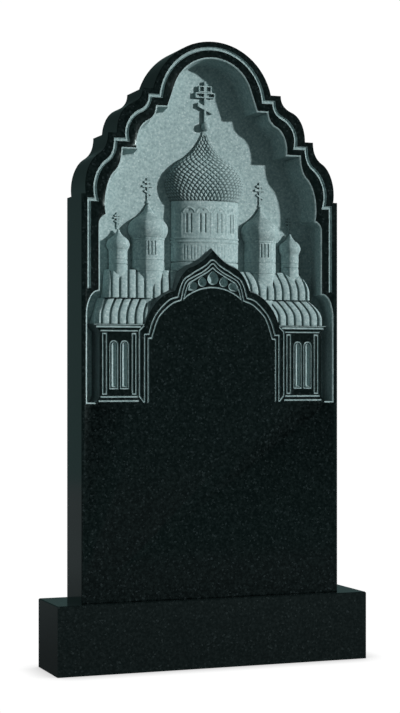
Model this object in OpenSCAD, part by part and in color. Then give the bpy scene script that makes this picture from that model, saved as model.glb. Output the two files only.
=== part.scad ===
// A carved memorial stele that stands on a plain plinth.
// The stele is one slab. A niche is sunk into its face, and a five-domed church is left
// standing in it: a portal and two pavilions flush with the face, two ribbed roofs behind
// them, and five towers with onion domes and crosses in half relief on the niche floor.
// X runs across the face, Y runs back through the slab, Z is up. The origin is on the
// ground, under the middle of the plinth.

/* [Stele] */
// Width of the stele
stele_w = 600; // [480:2:760]
// Height of the stele above the plinth
stele_h = 1218; // [1000:2:1480]
// Thickness of the stele
stele_t = 110; // [85:1:160]

/* [Plinth] */
// Height of the plinth
plinth_h = 150; // [80:5:240]
// Plinth left bare at each side of the stele
side_margin = 60; // [10:1:120]
// Plinth left bare in front of the stele
front_margin = 24; // [5:1:80]
// Plinth left bare behind the stele
back_margin = 16; // [5:1:80]
// Bevel along the plinth's upper edges
plinth_arris = 2; // [0.5:0.5:8]

/* [Crown outline] */
// Half width of the round arch at its foot
arch_half_w = 138; // [110:1:150]
// Rise of the round arch above the first ledge
arch_rise = 110; // [90:1:136]
// Width of the first ledge, under the arch
ledge_1_w = 24; // [14:1:34]
// Width of the upper lobe
lobe_1_w = 59; // [40:1:66]
// Height of the upper lobe
lobe_1_h = 100; // [80:1:130]
// Width of the second ledge, between the lobes
ledge_2_w = 19.5; // [12:0.5:28]
// Height of the lower lobe
lobe_2_h = 133; // [110:1:160]
// Width of the third ledge, at the shoulder
ledge_3_w = 9.5; // [5:0.5:16]

/* [Border groove] */
// Width of the groove cut round the face
groove_w = 7.5; // [3:0.5:12]
// Depth of the groove
groove_d = 3; // [1:0.5:8]
// Height above the stele's foot at which the groove ends
groove_foot = 673; // [520:1:720]

/* [Niche] */
// Depth of the niche floor behind the face
niche_depth = 55; // [36:1:70]
// Height of the carving's foot line above the stele's foot
foot_h = 426; // [300:1:480]
// Face left beside the niche at the pavilions
low_rim_w = 9.5; // [6:0.5:20]
// Face left beside the niche at the towers
high_rim_w = 38; // [30:1:60]
// Radius of the niche's round head
niche_head_r = 95; // [80:1:100]

/* [Church] */
// Half width of the two pavilions' outer walls
pavilion_out_w = 260; // [230:1:270]
// Width of the channel between a pavilion and the rim
channel_w = 30.5; // [20:0.5:60]
// Height of the pavilions up to the eaves
eaves_h = 172; // [150:1:200]
// Height of the portal's pointed gable
gable_h = 335; // [300:1:360]
// Half width of the portal where it meets the eaves
portal_half_w = 157; // [130:1:175]
// Height of the lower roof
roof_1_h = 57; // [40:1:75]
// Height of the upper roof
roof_2_h = 62; // [40:1:80]
// Distance from rib to rib on the roofs
rib_pitch = 19; // [14:0.5:30]
// Width of the groove between two ribs
rib_gap = 3; // [1.5:0.5:6]
// How far the front of the largest domes stays behind the face
relief_clear = 3; // [1:0.5:10]
// How far the front of the small domes stays behind the face
small_setback = 19; // [10:1:26]

/* [Towers] */
// Distance of the middle towers from the centre line
mid_x = 133; // [125:1:150]
// Distance of the small towers from the centre line
small_x = 203.5; // [190:0.5:220]
// Drum radius of the main tower
main_drum_r = 79; // [60:1:84]
// Drum radius of the middle towers
mid_drum_r = 37.5; // [28:0.5:42]
// Drum radius of the small towers
small_drum_r = 21; // [14:0.5:24]
// Largest radius of the main dome
main_dome_r = 93; // [84:1:98]
// Largest radius of the middle domes
mid_dome_r = 46; // [42:0.5:50]
// Largest radius of the small domes
small_dome_r = 26; // [24:0.5:29]
// Height of the main drum above the foot line
main_drum_h = 442; // [420:1:470]
// Height of the middle drums above the foot line
mid_drum_h = 361; // [340:1:380]
// Height of the small drums above the foot line
small_drum_h = 334; // [315:1:345]
// Height of the main dome
main_dome_h = 158; // [130:1:170]
// Height of the middle domes
mid_dome_h = 75; // [60:1:85]
// Height of the small domes
small_dome_h = 45; // [36:1:55]

/* [Crosses] */
// Height of the main cross
main_cross_h = 92; // [60:1:110]
// Height of the middle crosses
mid_cross_h = 50; // [30:1:60]
// Height of the small crosses
small_cross_h = 32; // [20:1:40]
// How far the crosses stand off the niche floor
cross_rise = 8; // [4:0.5:14]

/* [Hidden] */

arc_steps = 24;
curve_steps = 8;

half_w = stele_w / 2;
plinth_l = stele_w + 2 * side_margin;
plinth_d = front_margin + stele_t + back_margin;
front_y = front_margin - plinth_d / 2;
floor_y = front_y + niche_depth;
top_z = plinth_h + stele_h;
foot_z = plinth_h + foot_h;

// Heights of the three ledges, and where each one starts and ends across the face.
ledge_z = [top_z - arch_rise,
           top_z - arch_rise - lobe_1_h,
           top_z - arch_rise - lobe_1_h - lobe_2_h];
ledge_in = [arch_half_w, arch_half_w + ledge_1_w + lobe_1_w, half_w - ledge_3_w];
ledge_out = [arch_half_w + ledge_1_w, ledge_in[1] + ledge_2_w, half_w];

// How far each outline lies inside the slab's own edge:
// [top, arch foot, ledge ends, lobe ends, first ledge down, second down, third down].
edge_set = [0, 0, 0, 0, 0, 0, 0];
groove_set = [15.5, 18, 17, 24.5, 15.5, 14, 12];
niche_set = [34.5, 32, 30, 44, 36, 30, 42.5];

// Shape of an onion dome and of its ball, as shares of its largest radius and its height.
dome_foot = 0.85;
dome_belly = 0.244;
dome_waist = [0.5, 0.64];
dome_tip = 0.07;
ball_share = 0.2;

// The carving is drawn at full size and then fitted to the niche that it stands in.
cross_clear = 45.5;
carving_w = 2 * (pavilion_out_w + channel_w);
carving_h = main_drum_h + main_dome_h + ball_share * main_dome_r + main_cross_h + cross_clear;
room_w = stele_w - 2 * low_rim_w;
room_h = top_z - niche_set[0] - foot_z;
fit = min(room_w / carving_w, room_h / carving_h);

// Main tower: an ellipse in plan, so that it is wider than the niche is deep.
main_stand = 5;

// Roofs: how far behind the face the foot and the top of each one lie.
roof_1_front = [2, 22];
roof_2_front = [11, 34];
roof_1_flare = 19;
roof_2_flare = 8;
flare_end = 0.75;
rib_cut = 3;

// Windows of the pavilions.
window_w = 19;
window_h = 105;
window_sill = 32;
window_x = [204, 228.5];
window_d = 5;

function lerp(a, b, t) = a + (b - a) * t;
function bezier(p, t) = pow(1 - t, 3) * p[0] + 3 * pow(1 - t, 2) * t * p[1]
                      + 3 * (1 - t) * t * t * p[2] + pow(t, 3) * p[3];
function curve(p, n = curve_steps) = [for (i = [1 : n]) bezier(p, i / n)];
function mirrored(p) = concat(p, [for (i = [len(p) - 1 : -1 : 0]) if (p[i][0] > 0)
                                      [-p[i][0], p[i][1]]]);

// Round head through a top point and a foot point. With a radius of its own the head ends
// where a straight leg to the foot point touches it.
function head_r(foot_x, rise) = (foot_x * foot_x + rise * rise) / (2 * rise);
function head(top, foot, r) =
    let (dz = foot[1] - (top - r),
         reach = norm([foot[0], dz]),
         last = atan2(dz, foot[0]) + acos(min(1, r / reach)))
    concat([for (i = [0 : arc_steps - 1])
                let (a = lerp(90, last, i / arc_steps)) [r * cos(a), top - r + r * sin(a)]],
           [[r * cos(last), top - r + r * sin(last)]],
           reach > r + 0.01 ? [foot] : []);

// One lobe of the crown: a cove under the ledge above, then a round down to the next ledge.
function lobe(a, b, bulge) =
    let (w = b[0] - a[0], h = a[1] - b[1],
         at = function (u, v) [a[0] + u * w, a[1] - v * h])
    concat(curve([at(0, 0), at(0, 0.2), at(0.2, 0.3), at(0.46, 0.36)]),
           curve([at(0.46, 0.36), at(0.8, 0.44), at(1 + bulge, 0.7), at(1, 1)]));

// Right half of the crown, from the middle of the arch down to the third ledge.
function crown(s, r, bulge_1, bulge_2) =
    let (foot = [ledge_in[0] - s[1], ledge_z[0] - s[4]],
         ledge_1 = [ledge_out[0] - s[2], foot[1]],
         end_1 = [ledge_in[1] - s[3], ledge_z[1] - s[5]],
         ledge_2 = [ledge_out[1] - s[2], end_1[1]],
         end_2 = [ledge_in[2] - s[3], ledge_z[2] - s[6]])
    concat(head(top_z - s[0], foot, r), [ledge_1], lobe(ledge_1, end_1, bulge_1),
           [ledge_2], lobe(ledge_2, end_2, bulge_2));

edge_crown = crown(edge_set, head_r(arch_half_w, arch_rise), 0, 0.12);
groove_crown = crown(groove_set,
    head_r(arch_half_w - groove_set[1], arch_rise + groove_set[4] - groove_set[0]), 0.15, 0.3);
niche_crown = crown(niche_set, niche_head_r, 0.05, 0.2);

// Slab outline, right half and left half.
edge_path = concat(edge_crown, [[half_w, ledge_z[2]], [half_w, plinth_h]]);

// Centre line of the border groove, right half.
groove_path = let (x = half_w - groove_set[2], z = ledge_z[2] - groove_set[6])
    concat(groove_crown, [[x, z], [x, plinth_h + groove_foot]]);

// Niche outline, right half: a small round shoulder, the towers' rim, and the wider part
// that clears the pavilions.
shoulder_r = 18;
spread_h = 56;
spread_z = at(0, eaves_h + roof_1_h + 15)[1];
high_x = half_w - high_rim_w;
low_x = half_w - low_rim_w;
waist = niche_crown[len(niche_crown) - 1];
niche_path = concat(niche_crown,
    curve([waist, waist + [shoulder_r / 2, 0], [high_x, waist[1] - shoulder_r / 2],
           [high_x, waist[1] - shoulder_r]], 5),
    [[high_x, spread_z]],
    curve([[high_x, spread_z], [lerp(high_x, low_x, 0.6), spread_z],
           [low_x, spread_z - 0.45 * spread_h], [low_x, spread_z - spread_h]]),
    [[low_x, foot_z]]);

// A place on the carving: across from the centre line and up from the foot line.
function at(x, z) = [x * fit, foot_z + z * fit];
function all_at(p) = [for (q = p) at(q[0], q[1])];

// Portal, right half: pointed gable, round shoulder, step, and the wide arch to the eaves.
portal_path = let (g = gable_h, e = eaves_h, w = portal_half_w,
                   flank = [50, g - 37.5], step_z = lerp(e, g, 0.45))
    all_at(concat([[0, g]],
        curve([[0, g], [14, g - 15], [28, g - 30], flank]),
        curve([flank, [68, g - 44], [0.5 * w, step_z + 26], [0.56 * w, step_z]]),
        curve([[0.575 * w, step_z - 1], [0.78 * w, step_z - 9], [0.93 * w, e + 37], [w, e]]),
        [[w, -1]]));

// Pavilion with the eaves that overhang its wall and the flared foot.
pavilion_path = all_at([[portal_half_w - 1, -1], [pavilion_out_w + 8, -1],
    [pavilion_out_w + 8, 2], [pavilion_out_w, 16], [pavilion_out_w, eaves_h - 16],
    [pavilion_out_w + 14, eaves_h - 1], [pavilion_out_w + 14, eaves_h],
    [portal_half_w - 1, eaves_h]]);

// Outline of a roof that flares out to its foot, right half, and the same curve for a rib.
function flare(t) = sin(90 * min(1, t / flare_end));
function rib_line(x, z, h, spread) =
    [for (i = [0 : curve_steps]) let (t = i / curve_steps) [x + spread * flare(t), z - t * h]];
roof_1_x = pavilion_out_w + 7 - roof_1_flare;
roof_2_x = roof_1_x - 15;
roof_joint = eaves_h + roof_1_h;
roof_top = roof_joint + roof_2_h;

module face_solid(path, from, to) {
    translate([0, front_y + to, 0])
        rotate([90, 0, 0])
            linear_extrude(to - from)
                polygon(path);
}

// The line's points moved sideways, with its corners kept sharp.
function unit(v) = v / norm(v);
function side(a, b) = let (d = unit(b - a)) [-d[1], d[0]];
function parallel(p, d) = let (n = len(p) - 1)
    [for (i = [0 : n])
        let (u = i > 0 ? side(p[i - 1], p[i]) : side(p[0], p[1]),
             v = i < n ? side(p[i], p[i + 1]) : side(p[n - 1], p[n]))
        p[i] + d * (u + v) / (1 + u * v)];
function band(p, w) = let (a = parallel(p, w / 2), b = parallel(p, -w / 2))
    concat(a, [for (i = [len(b) - 1 : -1 : 0]) b[i]]);

// Half of an onion dome's outline: out to the belly, in to the waist, up to the tip.
function onion(foot_r, r, z, h) = let (q = function (u, v) [u * r, z + v * h])
    concat([q(foot_r / r, 0)],
        curve([q(foot_r / r, 0), q(0.93, 0.07), q(1, 0.16), q(1, dome_belly)], 5),
        curve([q(1, dome_belly), q(1, 0.42), q(0.78, 0.55), q(dome_waist[0], dome_waist[1])], 6),
        curve([q(dome_waist[0], dome_waist[1]), q(0.32, 0.72), q(0.14, 0.86),
               q(dome_tip, 1)], 6));

// Drum with a cap band, and its dome.
function tower_path(drum_r, drum_h, dome_r, dome_h) = let (cap = 0.03 * drum_r)
    fit * concat([[0, eaves_h], [drum_r, eaves_h], [drum_r, drum_h - 0.12 * drum_r],
                  [drum_r + cap, drum_h - 0.12 * drum_r], [drum_r + cap, drum_h]],
                 onion(dome_foot * dome_r, dome_r, drum_h, dome_h),
                 [[0, drum_h + dome_h]]);

module cross(h, y) {
    bar = 0.08 * h;
    face_solid(all_at([[-bar / 2, y], [bar / 2, y], [bar / 2, y + h], [-bar / 2, y + h]]),
               niche_depth - cross_rise, niche_depth + 1);
    for (b = [[0.15, 0.87], [0.24, 0.69]])
        face_solid(all_at([[-b[0] * h, y + b[1] * h], [b[0] * h, y + b[1] * h],
                           [b[0] * h, y + b[1] * h - bar], [-b[0] * h, y + b[1] * h - bar]]),
                   niche_depth - cross_rise, niche_depth + 1);
    face_solid(all_at([[-0.15 * h, y + 0.47 * h], [0.15 * h, y + 0.3 * h],
                       [0.15 * h, y + 0.3 * h - bar], [-0.15 * h, y + 0.47 * h - bar]]),
               niche_depth - cross_rise, niche_depth + 1);
}

// Ball on a dome's tip and the cross on the ball.
module finial(dome_r, top_h, cross_h) {
    ball_r = ball_share * dome_r / 2;
    translate([0, floor_y, at(0, top_h + ball_r)[1]])
        sphere(r = fit * ball_r * 1.1);
    cross(cross_h, top_h + 1.8 * ball_r);
}

module niche_part() {
    intersection() {
        children();
        face_solid([[-half_w, plinth_h], [half_w, plinth_h], [half_w, top_z], [-half_w, top_z]],
                   0.5, niche_depth + 5);
    }
}

module main_tower() {
    rise = niche_depth - relief_clear - main_stand;
    niche_part()
        translate([0, floor_y - main_stand, foot_z])
            scale([1, rise / (fit * main_dome_r), 1])
                rotate([0, 0, 180])
                    rotate_extrude(angle = 180, $fn = 48)
                        polygon(tower_path(main_drum_r, main_drum_h, main_dome_r, main_dome_h));
    niche_part()
        translate([-fit * main_drum_r, floor_y - main_stand - 0.5, foot_z + fit * eaves_h])
            cube([2 * fit * main_drum_r, main_stand + 5, fit * (main_drum_h - eaves_h)]);
    finial(main_dome_r, main_drum_h + main_dome_h, main_cross_h);
}

// A round tower beside the main one. Its dome's front stays behind the face.
module side_tower(x, drum_r, drum_h, dome_r, dome_h, cross_h, setback) {
    translate([x * fit, 0, 0]) {
        niche_part()
            translate([0, front_y + setback + fit * dome_r, foot_z])
                rotate_extrude($fn = 64)
                    polygon(tower_path(drum_r, drum_h, dome_r, dome_h));
        finial(dome_r, drum_h + dome_h, cross_h);
    }
}

// Ribbed roof: the front outline and the side profile meet, and the grooves are cut in.
module roof(x_top, z_top, h, spread, front) {
    outline = concat([[0, z_top - h]], [[x_top + spread, z_top - h]],
                     [for (i = [curve_steps - 1 : -1 : 0]) rib_line(x_top, z_top, h, spread)[i]],
                     [[0, z_top]]);
    slope = [for (i = [0 : curve_steps]) let (t = i / curve_steps)
                 [front_y + lerp(front[0], front[1], 1 - flare(t)), at(0, z_top - t * h)[1]]];
    back_y = floor_y + 2;
    difference() {
        intersection() {
            face_solid(mirrored(all_at(outline)), 0, niche_depth + 1);
            across(concat([[back_y, slope[0][1]]], slope, [[back_y, slope[curve_steps][1]]]));
        }
        intersection() {
            for (s = [-1, 1])
                scale([s, 1, 1])
                    for (x = [x_top - 0.7 * rib_pitch : -rib_pitch : 60])
                        face_solid(all_at(band(rib_line(x, z_top + 2, h + 4, spread), rib_gap)),
                                   -1, niche_depth - 4);
            across(concat([for (p = slope) p - [5, 0]],
                          [for (i = [curve_steps : -1 : 0]) slope[i] + [rib_cut, 0]]));
        }
    }
}

module across(path) {
    translate([-half_w, 0, 0])
        rotate([90, 0, 90])
            linear_extrude(2 * half_w)
                polygon(path);
}

module window(x) {
    r = window_w / 2;
    outline = concat([[r, 0]], [for (i = [0 : curve_steps - 1])
                                    let (a = 90 * i / curve_steps)
                                    [r * cos(a), window_h - r + r * sin(a)]], [[0, window_h]]);
    face_solid([for (p = mirrored(outline)) at(x + p[0], window_sill + p[1])], -1, window_d);
}

module stele() {
    color([0.09, 0.12, 0.12])
        difference() {
            union() {
                difference() {
                    face_solid(mirrored(edge_path), 0, stele_t);
                    face_solid(mirrored(niche_path), -1, niche_depth);
                }
                face_solid(mirrored(portal_path), 0, niche_depth + 1);
                face_solid(pavilion_path, 0, niche_depth + 1);
                face_solid([for (p = pavilion_path) [-p[0], p[1]]], 0, niche_depth + 1);
                roof(roof_1_x, roof_joint, roof_1_h, roof_1_flare, roof_1_front);
                roof(roof_2_x, roof_top, roof_2_h, roof_2_flare, roof_2_front);
                main_tower();
                for (s = [-1, 1]) {
                    side_tower(s * mid_x, mid_drum_r, mid_drum_h, mid_dome_r, mid_dome_h,
                               mid_cross_h, relief_clear);
                    side_tower(s * small_x, small_drum_r, small_drum_h, small_dome_r,
                               small_dome_h, small_cross_h, small_setback);
                }
            }
            face_solid(band(concat([for (i = [len(groove_path) - 1 : -1 : 1])
                                        [-groove_path[i][0], groove_path[i][1]]], groove_path),
                            groove_w), -1, groove_d);
            for (s = [-1, 1], x = window_x)
                window(s * x);
        }
}

module plinth() {
    a = plinth_arris;
    color([0.11, 0.15, 0.15])
        intersection() {
            translate([0, plinth_d / 2, 0])
                rotate([90, 0, 0])
                    linear_extrude(plinth_d)
                        polygon(mirrored([[0, plinth_h], [plinth_l / 2 - a, plinth_h],
                                          [plinth_l / 2, plinth_h - a], [plinth_l / 2, 0]]));
            translate([-plinth_l / 2, 0, 0])
                rotate([90, 0, 90])
                    linear_extrude(plinth_l)
                        polygon(mirrored([[0, plinth_h], [plinth_d / 2 - a, plinth_h],
                                          [plinth_d / 2, plinth_h - a], [plinth_d / 2, 0]]));
        }
}

stele();
plinth();
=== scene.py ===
# %% [markdown]
# # A carved memorial stele
# The object is one slab of dark granite on a plain block. The slab is polished. A niche is
# sunk into its face, and a five-domed church is left standing in the niche. What the chisel
# touched is frosted, so it is pale and matt beside the polish. The lesson draws the outline
# and engraves the fine lines, makes the niche as a tool with the church left out of it, and
# then takes that tool from the slab.

# %% The fixed frame
import math

import bmesh
import bpy
import numpy as np
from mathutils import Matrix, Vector


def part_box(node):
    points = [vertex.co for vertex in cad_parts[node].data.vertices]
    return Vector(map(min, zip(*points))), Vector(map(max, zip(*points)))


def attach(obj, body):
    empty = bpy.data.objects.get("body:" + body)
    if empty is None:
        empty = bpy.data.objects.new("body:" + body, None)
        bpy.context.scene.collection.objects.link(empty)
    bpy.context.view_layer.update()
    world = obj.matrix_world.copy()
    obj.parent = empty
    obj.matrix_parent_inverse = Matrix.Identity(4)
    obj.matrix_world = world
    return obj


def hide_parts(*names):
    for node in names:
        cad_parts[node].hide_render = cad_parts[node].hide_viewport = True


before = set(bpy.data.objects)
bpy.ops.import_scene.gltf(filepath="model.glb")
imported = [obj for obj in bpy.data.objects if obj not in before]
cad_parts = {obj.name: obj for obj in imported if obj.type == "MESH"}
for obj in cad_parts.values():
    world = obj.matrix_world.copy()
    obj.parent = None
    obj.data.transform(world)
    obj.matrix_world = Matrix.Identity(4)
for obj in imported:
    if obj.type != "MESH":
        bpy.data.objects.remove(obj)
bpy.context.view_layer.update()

MM = 0.001
stele_low, stele_high = (np.array(corner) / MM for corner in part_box("stele"))
half_w, back_y, top_z = stele_high
front_y, base_z = stele_low[1], stele_low[2]
print("stele, mm:", stele_low.round(1), stele_high.round(1))

# %% [markdown]
# ## Driving sizes
# All lengths are in millimetres until a mesh is made. The frame gives the slab's faces. The
# sizes below place the niche and the carving from those faces: the niche floor lies 55
# behind the face, and the carving stands on a foot line 426 above the slab's own foot.

# %% Driving sizes
niche_depth = 55.0
floor_y = front_y + niche_depth
foot_z = base_z + 426.0
eaves_z = foot_z + 172.0
portal_half_w = 157.0
wall_x = 260.0

ledge_z = top_z - np.array([110.0, 210.0, 343.0])
ledge_in = np.array([138.0, 221.0, half_w - 9.5])
ledge_out = np.array([162.0, 240.5, half_w])

EDGE = dict(top=0, foot=0, ledge=0, lobe=0, down=(0, 0, 0), bulge=(0, 0.12), head=None)
GROOVE = dict(top=15.5, foot=18, ledge=17, lobe=24.5, down=(15.5, 14, 12), bulge=(0.15, 0.3),
              head=None)
NICHE = dict(top=34.5, foot=32, ledge=30, lobe=44, down=(36, 30, 42.5), bulge=(0.05, 0.2),
             head=95.0)
print("niche floor y", floor_y, "foot z", foot_z, "ledges z", ledge_z)

# %% [markdown]
# ## Outlines
# The crown is a round arch over two lobes, and between them are short level ledges. It can
# be drawn with arcs and cubic curves, and three lines follow it at different distances: the
# slab's edge, the border groove and the niche. So one function draws all three, and a set
# of distances tells them apart. An outline runs clockwise as seen from the front: down the
# right side and up the left one.


# %% Curves
def cubic(p, n):
    """n points of a cubic curve after its start: four control points, weighted by
    (1-t)^3, 3t(1-t)^2, 3t^2(1-t) and t^3."""
    t = np.arange(1, n + 1)[:, None] / n
    p = np.asarray(p, float)
    return ((1 - t) ** 3 * p[0] + 3 * t * (1 - t) ** 2 * p[1]
            + 3 * t ** 2 * (1 - t) * p[2] + t ** 3 * p[3])


def head(top, foot, radius=None, n=44):
    """An arc from the top point down to the foot point. With a radius of its own the arc
    stops where a straight leg to the foot touches it."""
    x, rise = foot[0], top - foot[1]
    r = radius or (x * x + rise * rise) / (2 * rise)
    down = foot[1] - (top - r)
    reach = math.hypot(x, down)
    last = math.atan2(down, x) + math.acos(min(1.0, r / reach))
    a = np.linspace(math.pi / 2, last, n + 1)
    arc = np.c_[r * np.cos(a), top - r + r * np.sin(a)]
    return np.vstack([arc, [foot]]) if reach > r + 0.01 else arc


def lobe(start, end, bulge, n=14):
    """A cove under a ledge and then a round down to the next one: two cubic curves in
    shares of the lobe's width and height."""
    start, end = np.asarray(start, float), np.asarray(end, float)
    upper = cubic([(0, 0), (0, 0.2), (0.2, 0.3), (0.46, 0.36)], n)
    lower = cubic([(0.46, 0.36), (0.8, 0.44), (1 + bulge, 0.7), (1, 1)], n)
    return start + np.vstack([upper, lower]) * (end - start)


def crown(s):
    """The right half of the crown, in pieces: arch, first ledge, upper lobe, second ledge,
    lower lobe."""
    foot = (ledge_in[0] - s["foot"], ledge_z[0] - s["down"][0])
    ledge_1 = (ledge_out[0] - s["ledge"], foot[1])
    end_1 = (ledge_in[1] - s["lobe"], ledge_z[1] - s["down"][1])
    ledge_2 = (ledge_out[1] - s["ledge"], end_1[1])
    end_2 = (ledge_in[2] - s["lobe"], ledge_z[2] - s["down"][2])
    return [head(top_z - s["top"], foot, s["head"]), np.array([ledge_1]),
            lobe(ledge_1, end_1, s["bulge"][0]), np.array([ledge_2]),
            lobe(ledge_2, end_2, s["bulge"][1])]


def mirrored(path):
    """The right half, top to bottom, and then the left half, bottom to top."""
    left = path[::-1] * (-1, 1)
    return np.vstack([path, left[left[:, 0] < -1e-9]])


edge_path = np.vstack(crown(EDGE) + [[(half_w, ledge_z[2]), (half_w, base_z)]])
groove_x = half_w - GROOVE["ledge"]
groove_path = np.vstack(crown(GROOVE) + [[(groove_x, ledge_z[2] - GROOVE["down"][2]),
                                          (groove_x, base_z + 673)]])
print("slab outline:", len(mirrored(edge_path)), "points")

# %% [markdown]
# ## Moving an outline sideways
# Arrises, sloping walls and engraved lines are all an outline moved sideways. Scaling would
# change the distance from place to place. So each edge is moved along its own normal, and a
# corner goes where its two moved edges meet. Every edge may have its own distance, because
# the niche's walls lean in more at the lobes than at the legs.


# %% Sideways move
def sideways(path, distance, closed=True):
    """Moves edge i of the path to its left by distance[i]. A point goes to p + v, where v
    solves v.n1 = d1 and v.n2 = d2 for the normals of its two edges; on a smooth stretch,
    where n1 and n2 nearly agree, v is (n1 + n2) / (1 + n1.n2) times the mean distance."""
    path = np.asarray(path, float)
    along = np.roll(path, -1, 0) - path
    along /= np.linalg.norm(along, axis=1, keepdims=True)
    n2 = np.c_[-along[:, 1], along[:, 0]]
    d2 = np.broadcast_to(distance, len(path)).astype(float)
    n1, d1 = np.roll(n2, 1, 0), np.roll(d2, 1)
    if not closed:
        n1[0], n2[-1] = n2[0], n1[-1]
        d1[0], d2 = d2[0], np.append(d2[:-1], d1[-1])
    c = (n1 * n2).sum(1, keepdims=True)
    d1, d2 = d1[:, None], d2[:, None]
    smooth = (n1 + n2) / (1 + c) * (d1 + d2) / 2
    corner = (d1 * (n1 - c * n2) + d2 * (n2 - c * n1)) / np.where(c < 0.9, 1 - c * c, 1)
    return path + np.where(c < 0.9, corner, smooth)


# %% [markdown]
# ## Closed shells
# A boolean needs solids with no gap in them. Each solid here is a stack of rings, so one
# function closes every one of them: quads between neighbouring rings, and a flat polygon
# over each end. Slot 0 of every mesh is the polish, slot 1 the frosting and slot 2 the sawn
# flanks. A boolean keeps each face's slot, so a cut takes its finish from the tool that
# made it.

# %% Shells
POLISHED, FROSTED, SAWN = 0, 1, 2
finishes = [bpy.data.materials.new(name) for name in
            ("granite_polished", "granite_frosted", "granite_sawn")]


def in_plane(path, y):
    """A ring of 3-D points from an outline and a depth."""
    return np.c_[path[:, 0], np.full(len(path), y), path[:, 1]]


def add_mesh(name, points, faces, finish, smooth=True):
    """A mesh object from points in millimetres; its faces are turned outwards."""
    mesh = bpy.data.meshes.new(name)
    mesh.from_pydata((np.asarray(points) * MM).tolist(), [], faces)
    for material in finishes:
        mesh.materials.append(material)
    mesh.polygons.foreach_set("material_index", np.full(len(mesh.polygons), finish))
    mesh.polygons.foreach_set("use_smooth", np.full(len(mesh.polygons), smooth))
    solid = bmesh.new()
    solid.from_mesh(mesh)
    if solid.calc_volume(signed=True) < 0:
        mesh.flip_normals()
    solid.free()
    piece = bpy.data.objects.new(name, mesh)
    bpy.context.scene.collection.objects.link(piece)
    return piece


def shell(name, rings, finish=FROSTED, smooth=True):
    """A closed solid from rings of equal length: quad j of ring i joins points j and j+1 of
    rings i and i+1, and the first and last rings are covered by one polygon each."""
    rings = np.asarray(rings)
    count, n = rings.shape[:2]
    here = np.arange(count * n).reshape(count, n)
    right = np.roll(here, -1, 1)
    quads = np.stack([here[:-1], right[:-1], right[1:], here[1:]], -1).reshape(-1, 4)
    faces = quads.tolist() + [here[0, ::-1].tolist(), here[-1].tolist()]
    return add_mesh(name, rings.reshape(-1, 3), faces, finish, smooth)


def cut(target, tools):
    """Takes the tools away from the target, one after the other, and removes them."""
    for tool in tools:
        change = target.modifiers.new("cut", "BOOLEAN")
        change.solver, change.operation, change.object = "MANIFOLD", "DIFFERENCE", tool
        graph = bpy.context.evaluated_depsgraph_get()
        result = bpy.data.meshes.new_from_object(target.evaluated_get(graph))
        target.modifiers.clear()
        used, target.data = target.data, result
        bpy.data.meshes.remove(used)
        bpy.data.meshes.remove(tool.data)
    print(target.name, "after", len(tools), "cuts:", len(target.data.polygons), "faces")


# %% [markdown]
# ## The slab
# The slab is its outline carried from the face to the back. A mason breaks every polished
# edge with a small flat, the arris, so the end rings are drawn 1 mm in.

# %% Slab
arris = 1.0
outline = mirrored(edge_path)
slab = shell("stele_carved",
             [in_plane(sideways(outline, -arris), front_y), in_plane(outline, front_y + arris),
              in_plane(outline, back_y - arris), in_plane(sideways(outline, -arris), back_y)],
             POLISHED)

# %% [markdown]
# ## Engraved lines
# The portal, the pavilions and the border are drawn on the polish with shallow grooves. A
# groove is a four-sided section carried along a line: wide at the face, narrow at the
# bottom. The tool stands a little proud of the face and keeps its slope there, so the
# line's width at the face is exactly the one asked for.


# %% Line tools
PROUD = 1.0


def line_tool(path, width, bottom, depth, closed=False):
    """A section of four corners along a path. Its half width grows from bottom/2 at the
    given depth to width/2 at the face, and goes on at that slope to 1 mm in front."""
    path = np.asarray(path, float)
    slope = (width - bottom) / 2 / depth
    wide, narrow = width / 2 + PROUD * slope, bottom / 2
    corners = [(wide, -PROUD), (-wide, -PROUD), (-narrow, depth), (narrow, depth)]
    sides = [in_plane(sideways(path, w, closed), front_y + d) for w, d in corners]
    stations = np.stack(sides, 1)
    if not closed:
        return shell("line", stations, FROSTED, False)
    n = len(path)
    here = np.arange(n * 4).reshape(n, 4)
    after = np.roll(here, -1, 0)
    quads = np.stack([here, np.roll(here, -1, 1), np.roll(after, -1, 1), after], -1)
    return add_mesh("line", stations.reshape(-1, 3), quads.reshape(-1, 4).tolist(), FROSTED,
                    False)


def both(path):
    """A line on the right and its mirror image on the left."""
    path = np.asarray(path, float)
    return [path, path * (-1, 1)]


def across(path):
    """One line over the middle, from a right half that starts on it. A point that repeats
    the one before it is left out."""
    path = np.asarray(path, float)
    left = path[::-1] * (-1, 1)
    line = np.vstack([left[left[:, 0] < -1e-9], path])
    length = np.linalg.norm(np.diff(line, axis=0), axis=1)
    return line[np.r_[True, length > 0.01]]


# %% Border groove
border = across(groove_path)
border_w, border_bottom, border_d = 7.5, 3.4, 3.0
lines = [line_tool(border, border_w, border_bottom, border_d)]
print("border groove:", len(border), "stations")

# %% [markdown]
# ## Lines of the portal
# Three lines follow the portal's edge like the courses of an arch. The outer two run down
# to the foot line, with a small step at the springing. The third closes on itself with a
# low arc, and five drop-shaped hollows stand in the field between them.

# %% Portal lines
line_w, line_bottom, line_d = 3.4, 2.2, 1.4
line_foot = foot_z + 2


def fair(points, n=6):
    """A smooth path through points: each stretch is the cubic whose slopes at its two ends
    are half the way from the point before to the point after."""
    p = np.asarray(points, float)
    q = np.vstack([2 * p[0] - p[1], p, 2 * p[-1] - p[-2]])
    t = (np.arange(n) / n)[None, :, None]
    p0, p1, p2, p3 = (q[i:len(q) - 3 + i, None] for i in range(4))
    path = 0.5 * (2 * p1 + (p2 - p0) * t + (2 * p0 - 5 * p1 + 4 * p2 - p3) * t ** 2
                  + (3 * p1 - p0 - 3 * p2 + p3) * t ** 3)
    return np.vstack([path.reshape(-1, 2), p[-1:]])


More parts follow.
